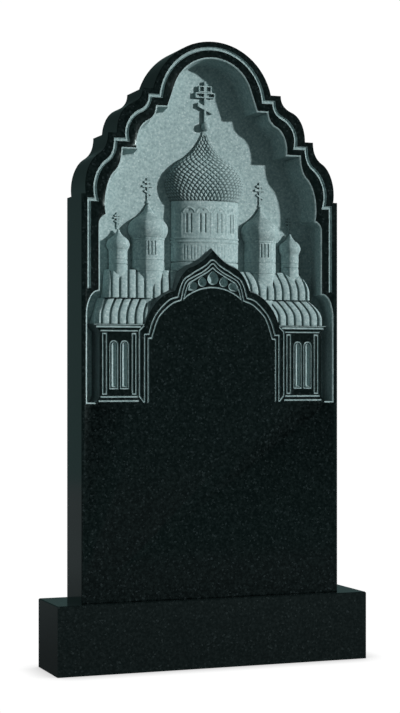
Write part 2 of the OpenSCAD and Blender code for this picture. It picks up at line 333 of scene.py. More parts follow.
outer_line = np.vstack([
    fair([(0, 889.5), (5, 888.0), (14, 879.5), (27, 871), (40, 864), (52, 856), (65, 847.5),
          (73.6, 832.5), (81, 807.5)]),
    fair([(81, 807.5), (102, 800), (127, 775), (140, 752), (147.8, 726)]),
    [(157.8, 725.5), (157.8, line_foot)]])
middle_line = np.vstack([
    fair([(0, 881.5), (3.5, 880), (13, 870.5), (27, 861), (47, 851), (60, 842.5), (67, 829),
          (73.6, 801)]),
    fair([(73.6, 801), (95, 792.5), (120, 770), (130, 752.5), (137, 732.5), (141.6, 717.5)]),
    [(149.5, 717), (149.5, line_foot)]])
inner_line = fair([(0, 872.5), (11, 864), (22, 857.5), (42, 846), (55, 837.5), (62, 822.5),
                   (67.3, 803.8)])
low_arc = head(829.5, (67.3, 803.8), None, 24)
tympanum = np.vstack([inner_line, low_arc[-2::-1], low_arc[1:-1] * (-1, 1),
                      inner_line[:0:-1] * (-1, 1)])
lines += [line_tool(across(p), line_w, line_bottom, line_d)
          for p in (outer_line, middle_line)]
lines += [line_tool(tympanum, line_w, line_bottom, line_d, closed=True)]


# %% Drop-shaped hollows
def drop(x, z, r, tip, lean=0.0, n=28):
    """A circle of radius r that is drawn out into a point at the distance tip from its
    middle. The angle a runs from the point round and back; the radius is r, and over the
    last 60 degrees towards the point it grows to tip as the square of what is left. The
    point is above the middle, or turned clockwise from there by lean, in radians."""
    a = np.linspace(0, 2 * math.pi, n, endpoint=False)
    near = np.clip(1 - np.minimum(a, 2 * math.pi - a) / (math.pi / 3), 0, 1)
    r = r + (tip - r) * near ** 2
    a = a + lean
    return np.c_[x + r * np.sin(a), z + r * np.cos(a)]


def hollow(path, depth, lean):
    """A pocket whose sides lean in by lean over its depth, with a ring 1 mm in front that
    keeps the slope. Over the last fifth of the depth they turn in by 1 mm more."""
    rings = [(PROUD * lean / depth, -PROUD), (-0.8 * lean, 0.8 * depth), (-lean - 1.0, depth)]
    return shell("hollow", [in_plane(sideways(path, w), front_y + y) for w, y in rings])


drop_d, drop_lean = 11.0, 4.2
drops = [drop(0.0, 848.0, 12.8, 18.0)]
for x, z, r, tip, lean in [(25.0, 840.5, 9.8, 12.0, 0.0), (46.0, 831.5, 9.4, 15.0, 2.2)]:
    right = drop(x, z, r, tip, lean)
    drops += [right, (right * (-1, 1))[::-1]]
hollows = [hollow(p, drop_d, drop_lean) for p in drops]

# %% [markdown]
# ## Lines and windows of the pavilions
# Each pavilion front is drawn like a small house: two cornice lines, a frame, a pilaster at
# each side, two round-headed windows and two base lines. A window is a line round its edge
# and a hollow with leaning sides inside that line. A fine line just under the eaves draws
# their edge.


# %% Pavilion lines
def level_line(x0, x1, z):
    """A level line from x0 to x1."""
    return [(x0, z), (x1, z)]


def box_line(x0, x1, z0, z1):
    """A rectangle, clockwise from its upper left corner."""
    return np.array([(x0, z1), (x1, z1), (x1, z0), (x0, z0)], float)


def window(x0, x1, z0, z1, n=12):
    """A rectangle with a half circle on top, clockwise from the left foot."""
    x, r = (x0 + x1) / 2, (x1 - x0) / 2
    a = np.linspace(math.pi, 0, n + 1)
    arc = np.c_[x + r * np.cos(a), z1 - r + r * np.sin(a)]
    return np.vstack([[(x0, z0)], arc, [(x1, z0)]])


level_lines = [(165, 267.5, eaves_z - 6, 4.4), (172, 258, eaves_z - 15, 3.2),
               (172, 258, foot_z + 15, 3.8), (170, 262, foot_z + 6, 3.8)]
eaves_line = level_line(158, 273, eaves_z - 1.3)
eaves_w, eaves_bottom, eaves_d = 1.9, 1.0, 0.8
frame_line = [(158, 745), (169.5, 733.5), (169.5, 592), (162, 583), (158.5, 578)]
pilasters = [(177.4, 185.6), (244.0, 252.2)]
windows = [(193, 213.7), (217, 237.7)]
window_foot, window_top, window_line_w = 607, 713, 3.2
window_in, window_d, window_lean = 4.9, 5.0, 3.2

pavilion_lines = []
for x0, x1, z, width in level_lines:
    pavilion_lines += [line_tool(p, width, 0.6 * width, line_d)
                       for p in both(level_line(x0, x1, z))]
pavilion_lines += [line_tool(p, eaves_w, eaves_bottom, eaves_d) for p in both(eaves_line)]
pavilion_lines += [line_tool(p, line_w, line_bottom, line_d) for p in both(frame_line)]
for x0, x1 in pilasters:
    pavilion_lines += [line_tool(p, line_w, line_bottom, line_d, closed=True)
                       for p in both(box_line(x0, x1, 597, 727))]
for x0, x1 in windows:
    for p in (window(x0, x1, window_foot, window_top), window(-x1, -x0, window_foot, window_top)):
        pavilion_lines.append(line_tool(sideways(p, -window_line_w / 2), window_line_w, 2.0,
                                        line_d, closed=True))
        hollows.append(hollow(sideways(p, -window_in), window_d, window_lean))
cut(slab, lines + pavilion_lines + hollows)

# %% [markdown]
# ## The niche
# The niche is a hollow with leaning walls. It is easier to shape the tool that would cut
# it than the hollow itself: rings of the niche's outline, from in front of the face to the
# floor. In front of the face the tool is 1.5 mm wider, so that the first step in is a small
# bevel that catches the light round the whole edge. Then the walls lean in, and a fillet
# carries them into the floor.

# %% Niche outline and how far each wall leans in
LEAN = dict(arch=14.0, ledge=10.0, lobe_1=15.0, lobe_2=18.5, leg=4.0, low_leg=7.5, foot=3.6)
high_x, low_x = half_w - 38.0, half_w - 9.5
spread_z, spread_h, shoulder_h = foot_z + 244.0, 56.0, 24.0
arch, ledge_1, lobe_1, ledge_2, lobe_2 = crown(NICHE)
waist = lobe_2[-1]
shoulder = cubic([waist, waist + (7, -2), (high_x, waist[1] - 0.4 * shoulder_h),
                  (high_x, waist[1] - shoulder_h)], 8)
spread = cubic([(high_x, spread_z), (high_x + 0.6 * (low_x - high_x), spread_z),
                (low_x, spread_z - 0.45 * spread_h), (low_x, spread_z - spread_h)], 16)
niche_right = np.vstack([arch, ledge_1, lobe_1, ledge_2, lobe_2, shoulder,
                         [(high_x, spread_z)], spread, [(low_x, foot_z)]])
lean_right = np.concatenate([
    np.full(len(arch) - 1, LEAN["arch"]), [LEAN["ledge"]], np.full(len(lobe_1), LEAN["lobe_1"]),
    [LEAN["ledge"]], np.full(len(lobe_2), LEAN["lobe_2"]),
    np.full(len(shoulder) + 1, LEAN["leg"]),
    np.linspace(LEAN["leg"], LEAN["low_leg"], len(spread)), [LEAN["low_leg"]]])
niche_outline = mirrored(niche_right)
lean = np.concatenate([lean_right, [LEAN["foot"]], lean_right[::-1]])
print("niche outline:", len(niche_outline), "points,", len(lean), "edges")

# %% Niche tool
bevel_w, bevel_d, fillet = 3.0, 2.0, 6.0
turn = np.linspace(0, math.pi / 2, 6)
inset_low = np.maximum(lean - 0.7 * fillet, bevel_w + 0.2)
in_front = np.full(len(lean), 1.5)
rings = [(-8.0, in_front), (-1.0, in_front), (bevel_d, np.full(len(lean), -bevel_w))]
rings += [(niche_depth - fillet * (1 - math.sin(a)),
           -(inset_low + fillet * (1 - math.cos(a)))) for a in turn]
niche = shell("niche", [in_plane(sideways(niche_outline, w), front_y + y) for y, w in rings])

# %% [markdown]
# ## Portal and pavilions
# These stand at full height: their fronts are the slab's own polished face. In the niche
# tool they are holes, so their solids go right through the tool, from in front of the face
# to behind the floor. The portal's edge is bevelled: it is wider behind than at the face.
# The flanks are left sawn, darker than the frosting.

# %% Portal and pavilions
gable_z = foot_z + 335.0
step_z = eaves_z + 0.45 * (gable_z - eaves_z)
flank = (50.0, gable_z - 37.5)
w = portal_half_w
portal_right = np.vstack([
    [(0, gable_z)],
    cubic([(0, gable_z), (14, gable_z - 15), (28, gable_z - 30), flank], 14),
    cubic([flank, (68, gable_z - 44), (0.5 * w, step_z + 26), (0.56 * w, step_z)], 14),
    [(0.575 * w, step_z - 1)],
    cubic([(0.575 * w, step_z - 1), (0.78 * w, step_z - 9), (0.93 * w, eaves_z + 37),
           (w, eaves_z)], 20),
    [(w, foot_z - 30)]])
portal_outline = mirrored(portal_right)
portal = shell("portal", [in_plane(sideways(portal_outline, d), front_y + y)
                          for y, d in [(-20, 0), (0.6, 0), (14, 5), (niche_depth + 10, 5)]],
               SAWN)

x = wall_x
house = np.array([(w - 10, foot_z - 30), (w - 10, eaves_z), (x + 14, eaves_z),
                  (x + 14, eaves_z - 1), (x, eaves_z - 16), (x, foot_z + 16),
                  (x + 8, foot_z + 2), (x + 8, foot_z - 30)])
pavilions = [shell("pavilion", [in_plane(p, front_y - 20), in_plane(p, floor_y + 10)],
                   SAWN, smooth=False) for p in both(house)]

# %% [markdown]
# ## Roofs
# Each roof is a row of rounded ribs that flare out to the eaves and roll forward. The
# surface is a function of two parameters: u across the ribs and t down the slope. The
# sideways shift and the roll forward share one flare curve, a quarter sine wave that is
# done after three quarters of the slope.


# %% Roof surface
def flare(t):
    """sin(90 degrees times t / 0.75), and 1 below that."""
    return np.sin(math.pi / 2 * np.minimum(1, t / 0.75))


GAP_DEPTH, HIP_SLOPE = 6.0, 1.35


def roof(name, side, x_top, z_top, height, spread, y_top, y_low, first, inner,
         pitch=19.0, gap=4.2, roll=2.2):
    """x = u + spread * flare(t), z = z_top - t * height, and y runs from y_top to y_low
    with the flare, as depths behind the face. From the middle of a rib y goes back by
    roll * (1 - sqrt(1 - s^3)) for the share s of the way to its edge; in the gap between
    two ribs it goes GAP_DEPTH back, and past the hip HIP_SLOPE mm a millimetre. The columns
    stand on the edges of the gaps, which keeps them crisp."""
    share = np.array([-0.5, -0.49, -0.3, 0.0, 0.3, 0.49, 0.5, 0.54, 0.6, 0.75, 1.0])
    share = np.concatenate([gap * share[:7], gap / 2 + (pitch - gap) * (share[7:] - 0.5),
                            pitch - gap / 2 - (pitch - gap) * (share[9:6:-1] - 0.5)])
    u = (first + pitch * np.arange(-12, 3)[:, None] + share).ravel()
    u = u[(u > inner + 0.3) & (u < x_top - 0.3)]
    u = np.unique(np.concatenate([[inner], u, [x_top]]).round(4))
    t = np.concatenate([np.linspace(0, 1, 15), [1.0]])
    phase = ((u - first) / pitch) % 1.0 * pitch
    phase = np.minimum(phase, pitch - phase)
    rib = np.clip((phase - gap / 2) / (pitch / 2 - gap / 2), 0, 1)
    bulge = np.where(phase < gap / 2, -GAP_DEPTH, roll * (np.sqrt(1 - (1 - rib) ** 3) - 1))
    x = u[None] + spread * flare(t)[:, None]
    z = np.broadcast_to((z_top - t * height)[:, None], x.shape)
    y = front_y + (y_top + (y_low - y_top) * flare(t))[:, None] - bulge[None]
    hip = 15.0 - 8.0 * flare(t)[:, None]
    y = y + HIP_SLOPE * np.maximum(0, u[None] - (x_top - hip))
    y[-1] = floor_y + 8
    back = np.full(len(u), floor_y + 8.0)
    top = np.stack([u, back, np.full(len(u), z_top)], -1)
    rows = np.concatenate([top[None], np.stack([x, y, z], -1)])
    rows[:, :, 0] *= side
    rows_n, cols_n = rows.shape[:2]
    here = np.arange(rows_n * cols_n).reshape(rows_n, cols_n)
    quads = np.stack([here[:-1, :-1], here[:-1, 1:], here[1:, 1:], here[1:, :-1]], -1)
    faces = quads.reshape(-1, 4).tolist()
    faces += [here[:, 0].tolist(), here[::-1, -1].tolist()]
    behind = np.stack([here[-1, :-1], here[-1, 1:], here[0, 1:], here[0, :-1]], -1)
    faces += behind.reshape(-1, 4).tolist()
    return add_mesh(name, rows.reshape(-1, 3), faces, FROSTED)


low_h, high_h, low_spread, overhang = 57, 62, 19, 7
LOW = dict(x_top=wall_x + overhang - low_spread, z_top=eaves_z + low_h, height=low_h,
           spread=low_spread, y_top=22, y_low=2, first=235, inner=100)
HIGH = dict(x_top=wall_x - 27, z_top=eaves_z + low_h + high_h, height=high_h, spread=8,
            y_top=34, y_low=11, first=221, inner=40)
roofs = []
for side in (1, -1):
    roofs += [roof("roof_low", side, **LOW), roof("roof_high", side, **HIGH)]

# %% [markdown]
# ## Towers
# A tower is a drum with an onion dome round a standing axis. The great one is wider than
# the niche is deep, so in plan its front is half an ellipse. A tower's surface is a
# function of the angle round the axis and the height: the profile gives the radius, the
# ornament is added to the radius, and the section says how far each angle comes forward.


# %% Onion profile
def onion(z, base, radius, height, foot=0.85, tip=0.07):
    """The dome's radius at each height: three cubic curves, out to the belly, in to the
    waist and up to the tip, in shares of the largest radius and the height."""
    q = np.vstack([[(foot, 0)],
                   cubic([(foot, 0), (0.93, 0.07), (1, 0.16), (1, 0.244)], 30),
                   cubic([(1, 0.244), (1, 0.42), (0.78, 0.55), (0.5, 0.64)], 40),
                   cubic([(0.5, 0.64), (0.32, 0.72), (0.14, 0.86), (tip, 1)], 40)])
    return radius * np.interp((z - base) / height, q[:, 1], q[:, 0])


def turned(name, x0, y0, z, angle, radius, front):
    """x = x0 + r sin(a) and y = y0 - r front(a), where r is given for every height and
    angle, and front(a) is the section's depth; each height is a ring."""
    rings = np.stack([x0 + radius * np.sin(angle)[None], y0 - radius * front[None],
                      np.broadcast_to(z[:, None], radius.shape)], -1)
    return shell(name, rings)


def half_ellipse(a, k):
    """A half ellipse k radii deep in front, k cos(a), and a shallow back."""
    return np.where(np.cos(a) > 0, k * np.cos(a), 0.3 * np.cos(a))


def keeled(a, corner=0.44, press=0.85):
    """A round section with a flattened front: with s = |sin a| and d = sqrt(1 - corner^2),
    it is d + press (cos a - d) up to the corner, and d (1 - q)^0.65 beyond it, where q goes
    from 0 at the corner to 1 at the side."""
    d = math.sqrt(1 - corner ** 2)
    q = np.clip((np.abs(np.sin(a)) - corner) / (1 - corner), 0, 1)
    depth = np.where(q > 0, d * (1 - q) ** 0.65, d + press * (np.cos(a) - d))
    return np.where(np.cos(a) > 0, depth, np.cos(a))


def angles(front_step, back_step=18.0, reach=96.0):
    """Fine steps over the front of a tower and coarse ones where it is in the stone."""
    front = np.linspace(-reach, reach, int(round(2 * reach / front_step)) + 1)
    back = np.arange(reach + back_step, 360 - reach - back_step / 2, back_step)
    return np.radians(np.concatenate([front, back]))


def bump(distance, half, soft):
    """1 inside the half width, 0 outside it, with a straight ramp of width soft."""
    return np.clip((half - distance) / soft + 0.5, 0, 1)


# %% [markdown]
# ## Scales of the great dome
# The great dome is covered in scales: two families of thin grooves that wind up the dome
# left and right, with a rounded diamond between them. In the coordinates U = angle / cell
# width and V = height in cells, the grooves lie where U + V or U - V is a whole number.
# The cells get wider in angle towards the tip, because there the dome is narrow. The lowest
# rings are drawn in a little, so that the dome starts inside the drum's top.

# %% Great dome
drum_r, dome_r = 79.0, 93.0
drum_top, dome_h = foot_z + 442.0, 158.0
clear = 3.0
axis_y = floor_y - 0.5
squeeze = (axis_y - (front_y + clear)) / dome_r
dome_z = np.linspace(drum_top, drum_top + dome_h, 146)
dome_a = angles(0.7, 20.0, 91.0)
cell = np.interp(dome_z, [1018, 1030, 1060, 1090, 1105, 1120, 1133, 1152, 1163, 1176],
                 [0.105, 0.114, 0.134, 0.188, 0.216, 0.25, 0.3, 0.5, 0.6, 0.8])
half_row = np.interp(dome_z, [1018, 1035, 1060, 1130, 1145, 1160, 1176],
                     [8.5, 7.2, 6.0, 6.0, 7.0, 9.0, 12.0])
step = np.gradient(dome_z)
V = np.cumsum(0.5 / half_row * step)
wrapped = (dome_a + math.pi) % (2 * math.pi) - math.pi
U = wrapped[None] / cell[:, None]


def ridge(s):
    """0 on whole numbers, 1 half way between them."""
    return 1 - np.abs(2 * (s % 1.0) - 1)


groove_share, slope_share, groove_d = 0.13, 0.45, 6.0
pillow = np.minimum(ridge(U + V[:, None]), ridge(U - V[:, None]))
pillow = np.clip((pillow - groove_share) / slope_share, 0, 1)
fade = np.clip((drum_top + dome_h - dome_z) / 12, 0, 1)[:, None]
fade = fade * (np.abs(wrapped) < math.radians(95))[None]
relief = -groove_d * (1 - np.sin(pillow * math.pi / 2) ** 0.8) * fade
dome_radius = onion(dome_z, drum_top, dome_r, dome_h)[:, None] + relief
dome_radius[:3] -= np.array([5.0, 3.0, 1.0])[:, None]
great_dome = turned("great_dome", 0.0, axis_y, dome_z, dome_a, dome_radius,
                    half_ellipse(dome_a, squeeze))

# %% [markdown]
# ## Great drum
# Under the dome is a drum with a blind arcade: round hoods, a pair of slits and a small
# round opening under each, and slim shafts between. Two rolls and a row of panels follow
# below. Each is a patch of raised or sunk radius, so the ornament is one sum. The leftmost
# bay stands a little closer to its neighbour than the others do.

# %% Great drum
drum_z = np.unique(np.concatenate([
    [eaves_z, 860, 883], np.arange(884, 888, 0.8), [891, 892, 893, 902, 911, 920, 921, 922],
    np.arange(926, 943, 1.0), [949, 949.6, 950.2, 950.8, 951.4, 961, 973, 986],
    np.arange(988, 1011, 0.9), [drum_top + 2]]))
drum_a = angles(1.0, 20.0, 91.0)
wrapped = np.degrees((drum_a + math.pi) % (2 * math.pi) - math.pi)
bay = 28.6
bays = np.array([-38.5, -0.5 * bay, 0.5 * bay, 1.5 * bay, 2.5 * bay])
off = wrapped[:, None] - bays
s = off[np.arange(len(off)), np.abs(off).argmin(1)] * math.radians(1) * drum_r
S, Z = np.meshgrid(s, drum_z)
slit_top = 990.0
slit = bump(np.hypot(np.abs(S) - 5.6, np.maximum(0, Z - slit_top)), 2.2, 1.0)
slit *= bump(np.maximum(0, 951 - Z), 0.5, 1.0)
eye = bump(np.hypot(S, Z - 1000.0), 2.0, 1.2)
hood_r = 17.0
hood = bump(np.abs(np.hypot(S, Z - (1007 - hood_r)) - hood_r + 1.5), 1.4, 1.2)
hood *= bump(994.0 - Z, 0.0, 2.0)
shaft = bump(np.abs(np.abs(S) - bay / 2 * math.radians(1) * drum_r), 2.0, 1.2)
shaft *= bump(np.abs(Z - 971), 25, 2)
roll = bump(np.abs(Z - 930.5), 1.9, 2.0) + bump(np.abs(Z - 938.5), 1.9, 2.0)
panel = bump(np.abs(np.abs(S) - 5.0), 1.4, 1.0) + bump(np.abs(np.abs(S) - 13.0), 1.4, 1.0)
panel *= bump(np.abs(Z - 907), 15, 1.5)
base_line = bump(np.abs(Z - 886), 1.2, 1.0)
relief = (-3.4 * slit - 2.6 * eye + 1.8 * hood + 1.3 * shaft + 2.2 * roll - 1.1 * panel
          - 3.0 * base_line)
relief *= (np.abs(wrapped) < 95)[None]
great_drum = turned("great_drum", 0.0, axis_y, drum_z, drum_a, drum_r + relief,
                    half_ellipse(drum_a, squeeze))

# %% [markdown]
# ## Side towers
# The four side towers are round in plan, with a flattened front. All have two fine lines
# round the drum, and the middle pair has a window group of three slits.


# %% Side towers
def side_tower(name, x0, drum_r, drum_top, dome_r, dome_h, setback, step, lines, windows):
    """A drum with a small cornice, and an onion dome over it. The lines are sunk 1.1 mm
    into the radius, and a window is sunk 1.5 mm inside an outline raised by 0.9 mm. The
    heights lie close together where there is a line, a cornice or a window foot."""
    axis = front_y + setback + dome_r
    feet = [low for _, _, low, _ in windows]
    z = np.unique(np.concatenate([
        [eaves_z], np.arange(drum_top - 9, drum_top + 1, 0.9), feet, [z + 0.6 for z in feet],
        *[np.arange(line - 1.6, line + 1.7, 0.8) for line in lines],
        np.arange(drum_top + 1, drum_top + dome_h - 0.5, 2.2), [drum_top + dome_h]]))
    a = angles(step, 30.0, 120.0)
    wrapped = (a + math.pi) % (2 * math.pi) - math.pi
    S, Z = np.meshgrid(wrapped * drum_r, z)
    on_drum = z < drum_top + 0.01
    cornice = 0.03 * drum_r * (z > drum_top - 0.12 * drum_r)
    r = np.where(on_drum, drum_r + cornice, onion(z, drum_top, dome_r, dome_h))[:, None]
    r = r + np.zeros_like(S)
    for line in lines:
        r -= 1.1 * bump(np.abs(Z - line), 1.0, 0.8)
    for centre, half, low, high in windows:
        arch = np.hypot(S - centre, np.maximum(0, Z - (high - half)))
        r -= 1.5 * bump(arch, half, 0.8) * (Z > low)
        r += 0.9 * bump(np.abs(arch - half - 1.6), 0.7, 0.6) * (Z > low)
    return turned(name, x0, axis, z, a, r, keeled(a))


mid_x, small_x = 133.0, 203.5
slits = [(c - 4.0, 1.5, 899.0, 929.0) for c in (-8.0, 0.0, 8.0)]
MID = dict(drum_r=37.5, drum_top=foot_z + 361, dome_r=46, dome_h=75, setback=clear + 3,
           step=2.5, lines=(863.0, 888.0), windows=slits)
SMALL = dict(drum_r=21, drum_top=foot_z + 334, dome_r=26, dome_h=45, setback=19.0, step=4.0,
             lines=(878.0, 888.0), windows=[])
towers = []
for side in (-1, 1):
    towers += [side_tower("mid_tower", side * mid_x, **MID),
               side_tower("small_tower", side * small_x, **SMALL)]


# %% [markdown]
# ## Balls and crosses
# Each dome ends in a ball and a cross with three bars; the lowest bar is slanted. The small
# crosses rise 3 mm from the niche floor and the great one 8 mm. The bars of a cross differ
# a little in height, so that no two faces lie in one plane when the booleans meet them.


# %% Balls and crosses
def ball(x, z, r, stand=0.0):
    """Rings round a standing axis that is stand in front of the niche floor, from 86
    degrees below the middle to 86 above."""
    a = np.radians(np.linspace(-86, 86, 15))
    turn = np.linspace(0, 2 * math.pi, 28, endpoint=False)
    rings = np.stack([x + r * np.cos(a)[:, None] * np.sin(turn),
                      floor_y - stand - r * np.cos(a)[:, None] * np.cos(turn),
                      np.broadcast_to((z + r * np.sin(a))[:, None], (15, 28))], -1)
    return shell("ball", rings)


def plate(points, rise):
    """A flat plate that rises from the niche floor, and is rooted 6 mm behind it."""
    path = np.asarray(points, float)
    return shell("plate", [in_plane(path, floor_y - rise), in_plane(path, floor_y + 6)],
                 smooth=False)


def rectangle(x, half, low, high):
    """An upright rectangle between two heights, half wide on each side of x."""
    return [(x - half, high), (x + half, high), (x + half, low), (x - half, low)]


def cross(x, z, h, bar, rise=3.0):
    """Post, two level bars and one slanted bar, in shares of the height h."""
    parts = [plate(rectangle(x, bar / 2, z, z + h), rise)]
    for n, (half, up) in enumerate([(0.15, 0.87), (0.24, 0.69)]):
        parts.append(plate(rectangle(x, half * h, z + up * h - 1.3 * bar, z + up * h),
                           rise + 0.5 + 0.2 * n))
    half, left, right = 0.15 * h, z + 0.47 * h, z + 0.3 * h
    parts.append(plate([(x - half, left), (x + half, right), (x + half, right - bar),
                        (x - half, left - bar)], rise + 0.3))
    return parts


great_ball_r, great_ball_stand = 9.6, 9.0
finials = [ball(0.0, drum_top + dome_h + 3 + 0.9 * great_ball_r, great_ball_r,
                great_ball_stand)]
for side in (-1, 1):
    for x, z, r, h, bar in [(mid_x, foot_z + 436, 4.6, 50, 3.6),
                            (small_x, foot_z + 379, 2.8, 32, 2.8)]:
        finials.append(ball(side * x, z + 0.9 * r, r))
        finials += cross(side * x, z + 1.7 * r, h, bar)
great_bars = [(15, 1264, 1278, 8.6), (23, 1251.5, 1263, 8.8)]
finials.append(plate(rectangle(0, 2.2, 1194, 1288), 8.0))
finials += [plate(rectangle(0, half, low, high), rise)
            for half, low, high, rise in great_bars]
finials.append(plate([(-17, 1240.5), (17, 1225.5), (17, 1216.5), (-17, 1231.5)], 8.4))

# %% [markdown]
# ## Cutting
# The standing pieces are taken out of the niche tool one at a time, and then the tool is
# taken out of the slab. The result is one closed solid with the three finishes in place.
# Last, a pocket is sunk into each half of the great cross's level bars, which leaves a rim.

# %% Cutting
cut(niche, [portal] + pavilions + roofs + finials + towers + [great_drum, great_dome])
cut(slab, [niche])

# %% Cross pockets and finish of the mesh
post_gap, rim = 3.2, 2.2
pockets = []
for half, low, high, rise in great_bars:
    near, far = post_gap, half - rim
    for side in (-1, 1):
        path = np.array(rectangle(side * (near + far) / 2, (far - near) / 2, low + rim,
                                  high - rim), float)
        pockets.append(shell("pocket", [in_plane(path, floor_y - rise - PROUD),
                                        in_plane(path, floor_y - 0.8)], smooth=False))
cut(slab, pockets)
slab.data.set_sharp_from_angle(angle=math.radians(34))

check = bmesh.new()
check.from_mesh(slab.data)
print("open edges:", sum(not e.is_manifold for e in check.edges),
      "volume, litres:", round(check.calc_volume() * 1000, 2),
      "triangles:", sum(len(f.verts) - 2 for f in check.faces))
check.free()

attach(slab, "root")
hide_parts("stele")


# %% [markdown]
# ## Granite
# Polished black granite is nearly black, with a cool cast, and specks of paler mineral in
# it. Where it is frosted the surface scatters light and looks pale grey-green, with a soft
# mottle; in narrow grooves a painted shade darkens it, where shade falls. The sawn flanks
# lie between the two. All of it is one stone, so one group gives the pattern and each
# material uses it with its own values.

# %% Stone pattern
def node(tree, kind, **inputs):
    """A node with some of its inputs set or linked."""
    new = tree.nodes.new(kind)
    for name, value in inputs.items():
        socket = new.inputs[name.replace("_", " ")]
        if isinstance(value, bpy.types.NodeSocket):
            tree.links.new(value, socket)
        else:
            socket.default_value = value
    return new


def stone_group():
    """Flecks: cells of a Voronoi pattern whose random value is high. Mottle: two sizes of
    noise. Grain: fine noise for the bump."""
    group = bpy.data.node_groups.new("stone_pattern", "ShaderNodeTree")
    face = group.interface
    face.new_socket("Vector", in_out="INPUT", socket_type="NodeSocketVector")
    for name, value in [("Fleck size", 0.0022), ("Fleck share", 0.12)]:
        socket = face.new_socket(name, in_out="INPUT", socket_type="NodeSocketFloat")
        socket.default_value = value
    for name in ("Fleck", "Mottle", "Grain"):
        face.new_socket(name, in_out="OUTPUT", socket_type="NodeSocketFloat")
    start, end = group.nodes.new("NodeGroupInput"), group.nodes.new("NodeGroupOutput")
    vector = start.outputs["Vector"]
    scale = node(group, "ShaderNodeMath")
    scale.operation = "DIVIDE"
    scale.inputs[0].default_value = 1.0
    group.links.new(start.outputs["Fleck size"], scale.inputs[1])
    cells = node(group, "ShaderNodeTexVoronoi", Vector=vector, Scale=scale.outputs[0])
    tone = node(group, "ShaderNodeSeparateColor", Color=cells.outputs["Color"])
    limit = node(group, "ShaderNodeMath")
    limit.operation = "SUBTRACT"
    limit.inputs[0].default_value = 1.0
    group.links.new(start.outputs["Fleck share"], limit.inputs[1])
    pick = node(group, "ShaderNodeMapRange", Value=tone.outputs[0], From_Max=1.0)
    group.links.new(limit.outputs[0], pick.inputs["From Min"])
    group.links.new(pick.outputs[0], end.inputs["Fleck"])
    broad = node(group, "ShaderNodeTexNoise", Vector=vector, Scale=170.0, Detail=3.0,
                 Roughness=0.65)
    group.links.new(broad.outputs[0], end.inputs["Mottle"])
    fine = node(group, "ShaderNodeTexNoise", Vector=vector, Scale=900.0, Detail=2.0,
                Roughness=0.6)
    group.links.new(fine.outputs[0], end.inputs["Grain"])
    return group


stone = stone_group()


def set_finish(material, dark, light, mottle, fleck_colour, fleck_size, share, roughness,
               bump_height, specular, tint, painted_groove_shade=None):
    """Base colour: dark to light by the mottle, then the fleck colour where a fleck is, and
    then, if it is given, a painted shade colour mixed in by ambient occlusion in grooves
    narrower than about 5 mm, where shade falls. The mottle also carries the roughness
    between its two values."""
    material.use_nodes = True
    tree = material.node_tree
    shader = tree.nodes["Principled BSDF"]
    place = node(tree, "ShaderNodeTexCoord")
    pattern = tree.nodes.new("ShaderNodeGroup")
    pattern.node_tree = stone
    tree.links.new(place.outputs["Object"], pattern.inputs["Vector"])
    pattern.inputs["Fleck size"].default_value = fleck_size
    pattern.inputs["Fleck share"].default_value = share
    level = node(tree, "ShaderNodeMapRange", Value=pattern.outputs["Mottle"],
                 From_Min=mottle[0], From_Max=mottle[1])
    ground = node(tree, "ShaderNodeMix")
    ground.data_type = "RGBA"
    tree.links.new(level.outputs[0], ground.inputs[0])
    ground.inputs[6].default_value = (*dark, 1)
    ground.inputs[7].default_value = (*light, 1)
    flecked = node(tree, "ShaderNodeMix")
    flecked.data_type = "RGBA"
    tree.links.new(pattern.outputs["Fleck"], flecked.inputs[0])
    tree.links.new(ground.outputs[2], flecked.inputs[6])
    flecked.inputs[7].default_value = (*fleck_colour, 1)
    colour = flecked
    # Painted shade: ambient occlusion mixes a dark shade colour into the base colour in narrow
    # grooves.
    if painted_groove_shade:
        groove_occlusion = node(tree, "ShaderNodeAmbientOcclusion", Distance=0.005)
        groove_occlusion.samples = 8
        depth = node(tree, "ShaderNodeMapRange", Value=groove_occlusion.outputs["AO"], From_Min=0.3,
                     From_Max=0.8)
        colour = node(tree, "ShaderNodeMix")
        colour.data_type = "RGBA"
        tree.links.new(depth.outputs[0], colour.inputs[0])
        colour.inputs[6].default_value = (*painted_groove_shade, 1)
        tree.links.new(flecked.outputs[2], colour.inputs[7])
    tree.links.new(colour.outputs[2], shader.inputs["Base Color"])
    shader.inputs["Specular Tint"].default_value = (*tint, 1)
    rough = node(tree, "ShaderNodeMapRange", Value=pattern.outputs["Mottle"],
                 From_Min=0.3, From_Max=0.7, To_Min=roughness[0], To_Max=roughness[1])
    tree.links.new(rough.outputs[0], shader.inputs["Roughness"])
    shader.inputs["Specular IOR Level"].default_value = specular
    relief = node(tree, "ShaderNodeBump", Height=pattern.outputs["Grain"],
                  Strength=bump_height, Distance=0.0006)
    tree.links.new(relief.outputs[0], shader.inputs["Normal"])


polished, frosted, sawn = finishes
set_finish(polished, dark=(0.0006, 0.0012, 0.0013), light=(0.0052, 0.0085, 0.0085),
           mottle=(0.42, 0.66), fleck_colour=(0.0145, 0.0205, 0.0215), fleck_size=0.0034,
           share=0.10, roughness=(0.1, 0.14), bump_height=0.02, specular=0.45,
           tint=(0.8, 1, 0.98))
set_finish(frosted, dark=(0.195, 0.282, 0.286), light=(0.345, 0.45, 0.45),
           mottle=(0.33, 0.67), fleck_colour=(0.41, 0.51, 0.51), fleck_size=0.0030,
           share=0.14, roughness=(0.72, 0.85), bump_height=0.35, specular=0.3,
           # The last colour is the painted shade for narrow grooves.
           tint=(0.9, 1, 1), painted_groove_shade=(0.06, 0.092, 0.095))
set_finish(sawn, dark=(0.060, 0.080, 0.083), light=(0.120, 0.155, 0.158),
           mottle=(0.33, 0.67), fleck_colour=(0.17, 0.21, 0.21), fleck_size=0.0030,
           share=0.10, roughness=(0.5, 0.65), bump_height=0.25, specular=0.3,
           tint=(0.9, 1, 1))
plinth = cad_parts["plinth"]
plinth_stone = bpy.data.materials.new("granite_plinth_polished")
